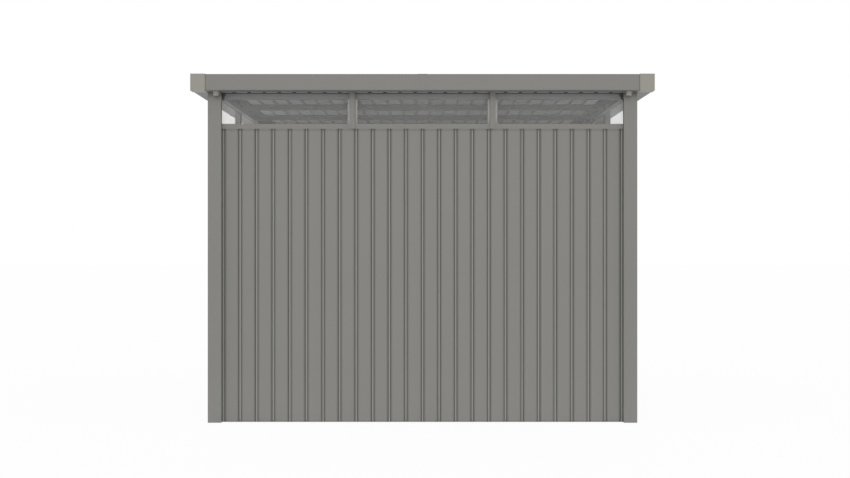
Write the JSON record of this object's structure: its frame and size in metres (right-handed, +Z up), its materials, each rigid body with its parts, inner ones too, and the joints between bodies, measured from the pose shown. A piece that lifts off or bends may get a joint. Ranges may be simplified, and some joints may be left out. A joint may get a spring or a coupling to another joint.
{
  "type": "flat-roofed metal storage shed",
  "caption": "Flat-roofed steel storage shed with grooved sheet walls, a window band under the roof, a deep gutter fascia with corner caps and a single door.",
  "frame": {"origin": "ground level in the middle of the plan", "axes": "+Z up, +X towards the door side, -Y towards the side wall that the picture shows"},
  "size_m": [2.75, 2.75, 2.0805],
  "materials": {
    "wall_paint": "satin",
    "frame_paint": "satin",
    "inner_paint": "satin",
    "base_galvanised": "galvanised",
    "trim_plastic": "matt",
    "window_acrylic": "clear",
    "handle_metal": "brushed",
    "hinge_metal": "satin"
  },
  "bodies": {
    "root": {"base_rail_back": "base_galvanised", "base_rail_front": "base_galvanised", "base_rail_left": "base_galvanised", "base_rail_right": "base_galvanised", "corner_cap_back_left": "trim_plastic", "corner_cap_back_right": "trim_plastic", "corner_cap_front_left": "trim_plastic", "corner_cap_front_right": "trim_plastic", "corner_post_back_left": "frame_paint", "corner_post_back_right": "frame_paint", "corner_post_front_left": "frame_paint", "corner_post_front_right": "frame_paint", "door_handle": "handle_metal", "door_hinges": "hinge_metal", "door_jambs": "frame_paint", "door_leaf": "wall_paint", "drain_spouts": "trim_plastic", "fascia_joints": "frame_paint", "gutter_back": "frame_paint", "gutter_front": "frame_paint", "gutter_left": "frame_paint", "gutter_right": "frame_paint", "mullions": "frame_paint", "rafter_sleeves": "inner_paint", "rafters": "inner_paint", "roof_sheet_back": "inner_paint", "roof_sheet_front": "inner_paint", "sill_rail_back": "frame_paint", "sill_rail_front": "frame_paint", "sill_rail_left": "frame_paint", "sill_rail_right": "frame_paint", "top_rail_back": "inner_paint", "top_rail_front": "inner_paint", "top_rail_left": "inner_paint", "top_rail_right": "inner_paint", "wall_sheet_back": "wall_paint", "wall_sheet_front": "wall_paint", "wall_sheet_left": "wall_paint", "wall_sheet_right": "wall_paint", "window_panes_back": "window_acrylic", "window_panes_front": "window_acrylic", "window_panes_left": "window_acrylic", "window_panes_right": "window_acrylic"}
  },
  "joints": []
}
